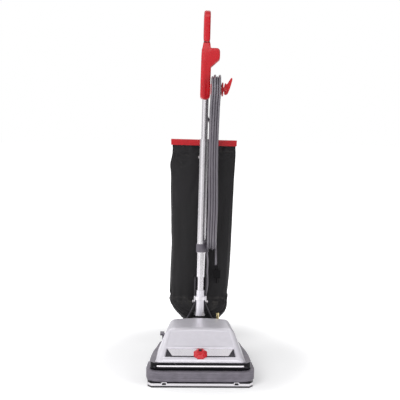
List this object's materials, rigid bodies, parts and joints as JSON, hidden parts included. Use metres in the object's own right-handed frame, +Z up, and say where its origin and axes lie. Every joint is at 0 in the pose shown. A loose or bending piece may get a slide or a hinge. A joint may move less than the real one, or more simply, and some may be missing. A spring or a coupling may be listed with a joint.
{
  "type": "upright vacuum cleaner",
  "caption": "Upright vacuum cleaner with a low silver hood over a wide nozzle, a steel tube handle with a red closed grip, a black cloth bag and a hanked grey cord.",
  "frame": {"origin": "on the floor under the middle of the machine as it stands upright, without its cord", "axes": "+Z up, -Y towards the nozzle, +X to the right seen from the nozzle side"},
  "size_m": [0.3502, 0.5364, 1.1875],
  "materials": {
    "housing_paint": "die-cast aluminium painted warm grey, satin",
    "bumper_vinyl": "soft grey vinyl, satin",
    "black_gloss": "black moulded plastic, gloss",
    "bright_plate": "bright plated steel",
    "zinc_steel": "zinc plated steel, satin",
    "hood_silver": "polished silver metal, soft gloss",
    "name_silver": "bare satin silver panel",
    "motor_grey": "die-cast aluminium, bare",
    "lamination": "varnished steel laminations with copper windings",
    "rotor_steel": "ground steel shaft and laminated core",
    "copper": "copper segments",
    "carbon": "pressed carbon",
    "black_rubber": "black rubber, matt",
    "roll_wood": "varnished beech",
    "bristle": "black nylon bristle",
    "black_plastic": "black moulded plastic, fine texture",
    "wheel_grey": "dark grey moulded wheel",
    "red_gloss": "bright red moulded plastic, gloss",
    "red_knob": "red moulded knob, gloss",
    "black_paint": "black enamel on steel",
    "post_brass": "pale brass, turned",
    "tube_chrome": "bright plated steel tube",
    "socket_silver": "cast socket, bright plated",
    "collar_rubber": "dark moulded rubber",
    "cord_sheath": "grey vinyl cord sheath, satin",
    "bag_cloth": "black woven bag cloth"
  },
  "bodies": {
    "base": {"base_housing": "housing_paint", "bumper": "bumper_vinyl", "front_panel": "black_gloss", "trim_strip": "bright_plate", "panel_screws": "bright_plate", "sole_plate": "bright_plate", "sole_clips": "bright_plate", "hood": "hood_silver", "name_panel": "name_silver", "hood_screws": "zinc_steel", "fan_housing": "black_plastic", "motor_housing": "motor_grey", "stator": "lamination", "motor_bearings": "rotor_steel", "carbon_brushes": "carbon", "drive_belt": "black_rubber", "brush_end_caps": "black_plastic", "rear_axle": "zinc_steel", "exhaust_duct": "black_plastic", "bag_neck": "black_rubber", "stop_post": "post_brass", "pivot_bolts": "zinc_steel"},
    "rotor": {"armature": "rotor_steel", "commutator": "copper", "fan_impeller": "motor_grey"},
    "brush": {"brush_roll": "roll_wood", "brush_bristles": "bristle"},
    "latch_left": {"sole_latch_left": "zinc_steel"},
    "latch_right": {"sole_latch_right": "zinc_steel"},
    "carriage": {"wheel_carriage": "zinc_steel"},
    "front_wheel_l": {"front_wheel_left": "wheel_grey"},
    "front_wheel_r": {"front_wheel_right": "wheel_grey"},
    "knob": {"height_knob": "red_knob", "height_cam": "zinc_steel"},
    "rear_wheel_l": {"rear_wheel_left": "wheel_grey"},
    "rear_wheel_r": {"rear_wheel_right": "wheel_grey"},
    "pedal": {"release_pedal": "black_paint"},
    "handle": {"handle_bail": "zinc_steel", "handle_socket": "socket_silver", "tube_bolts": "zinc_steel", "lower_tube": "tube_chrome", "tube_collar": "collar_rubber", "middle_tube": "tube_chrome", "upper_tube": "tube_chrome", "switch_housing": "red_gloss", "switch_cover": "red_gloss", "switch_body": "black_plastic", "grip": "red_gloss", "cord_saddle": "red_gloss", "strain_relief": "black_rubber", "motor_lead": "cord_sheath", "bag": "bag_cloth", "bag_hanger": "zinc_steel", "cord_lead": "cord_sheath", "cord_hank": "cord_sheath", "cord_tail": "cord_sheath", "plug": "black_rubber"},
    "rocker": {"power_rocker": "black_gloss"},
    "hook": {"cord_hook": "red_gloss"},
    "clip": {"bag_clip": "red_gloss"}
  },
  "joints": [
    {"name": "motor_spin", "type": "hinge", "parent": "base", "child": "rotor", "pos_m": [-0.045, -0.119, 0.064], "axis": [0, 1, 0], "continuous": true},
    {"name": "brush_spin", "type": "hinge", "parent": "base", "child": "brush", "pos_m": [0, -0.221, 0.03], "axis": [1, 0, 0], "continuous": true},
    {"name": "latch_left_turn", "type": "hinge", "parent": "base", "child": "latch_left", "pos_m": [-0.07, -0.167, 0.002], "axis": [0, 0, 1], "range_deg": [0, 90]},
    {"name": "latch_right_turn", "type": "hinge", "parent": "base", "child": "latch_right", "pos_m": [0.07, -0.167, 0.002], "axis": [0, 0, -1], "range_deg": [0, 90]},
    {"name": "height_knob_turn", "type": "hinge", "parent": "base", "child": "knob", "pos_m": [0, -0.22299, 0.09641], "axis": [0, -0.4875, 0.8731], "range_deg": [0, 180]},
    {"name": "carriage_lift", "type": "hinge", "parent": "base", "child": "carriage", "pos_m": [0, -0.17723, 0.03148], "axis": [-1, 0, 0], "range_deg": [0, 11.2]},
    {"name": "front_left_roll", "type": "hinge", "parent": "carriage", "child": "front_wheel_l", "pos_m": [-0.121, -0.13723, 0.016], "axis": [1, 0, 0], "continuous": true},
    {"name": "front_right_roll", "type": "hinge", "parent": "carriage", "child": "front_wheel_r", "pos_m": [0.121, -0.13723, 0.016], "axis": [1, 0, 0], "continuous": true},
    {"name": "rear_left_roll", "type": "hinge", "parent": "base", "child": "rear_wheel_l", "pos_m": [-0.099, 0.049, 0.032], "axis": [1, 0, 0], "continuous": true},
    {"name": "rear_right_roll", "type": "hinge", "parent": "base", "child": "rear_wheel_r", "pos_m": [0.099, 0.049, 0.032], "axis": [1, 0, 0], "continuous": true},
    {"name": "pedal_press", "type": "hinge", "parent": "base", "child": "pedal", "pos_m": [-0.1, 0.005, 0.062], "axis": [-1, 0, 0], "range_deg": [0, 12], "stiffness_Nm_per_rad": 2},
    {"name": "handle_tilt", "type": "hinge", "parent": "base", "child": "handle", "pos_m": [0, 0.033, 0.085], "axis": [-1, 0, 0], "range_deg": [0, 60]},
    {"name": "power_switch", "type": "hinge", "parent": "handle", "child": "rocker", "pos_m": [0.04684, 0.18899, 1.03688], "axis": [0.9998, -0.0024, -0.0173], "range_deg": [0, 14]},
    {"name": "cord_hook_turn", "type": "hinge", "parent": "handle", "child": "hook", "pos_m": [0.07971, 0.13142, 0.92178], "axis": [0.9998, -0.0024, -0.0173], "range_deg": [0, 180]},
    {"name": "bag_clip_slide", "type": "slide", "parent": "handle", "child": "clip", "axis": [0.9998, -0.0024, -0.0173], "range_m": [0, 0.22]}
  ],
  "couplings": [
    {"joint": "brush_spin", "follows": "motor_spin", "ratio": 0.38},
    {"joint": "carriage_lift", "follows": "height_knob_turn", "ratio": 0.062222}
  ]
}
